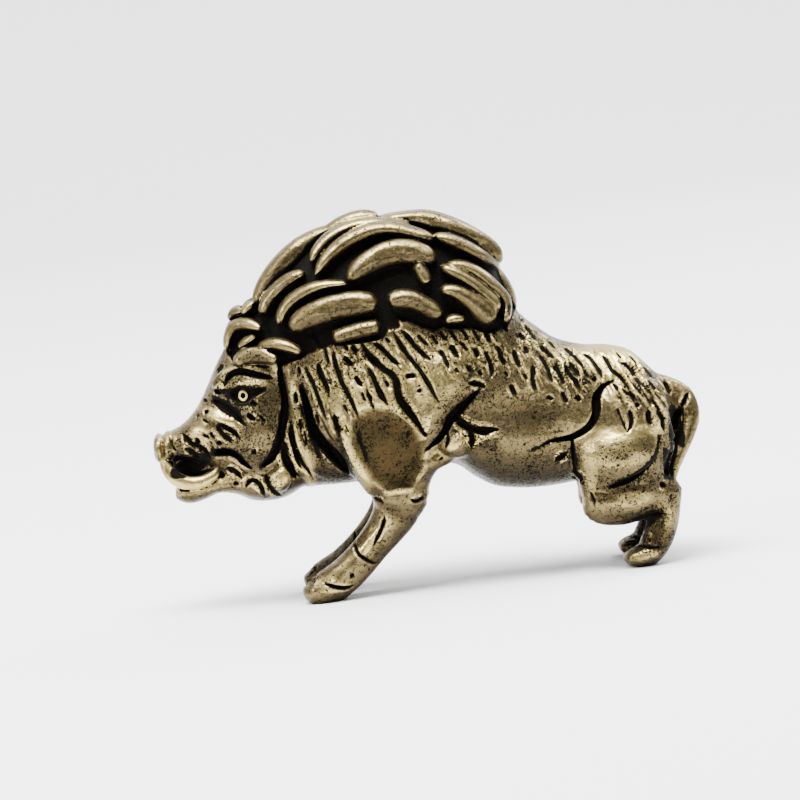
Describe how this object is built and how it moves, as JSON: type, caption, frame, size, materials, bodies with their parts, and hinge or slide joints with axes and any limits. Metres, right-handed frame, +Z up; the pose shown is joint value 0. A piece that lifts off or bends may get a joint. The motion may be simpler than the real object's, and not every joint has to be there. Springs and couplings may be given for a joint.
{
  "type": "cast boar figurine",
  "caption": "Small solid brass figurine of a charging wild boar with a curly mane, head held low and forelegs thrust forward.",
  "frame": {"origin": "middle of the footprint on the surface it stands on", "axes": "+Z up, -X towards the snout, -Y towards the boar's left side"},
  "size_m": [0.0499, 0.015, 0.0349],
  "materials": {
    "aged_brass": "worn antique brass with near-black patina in the hollows"
  },
  "bodies": {
    "root": {"boar": "aged_brass"}
  },
  "joints": []
}
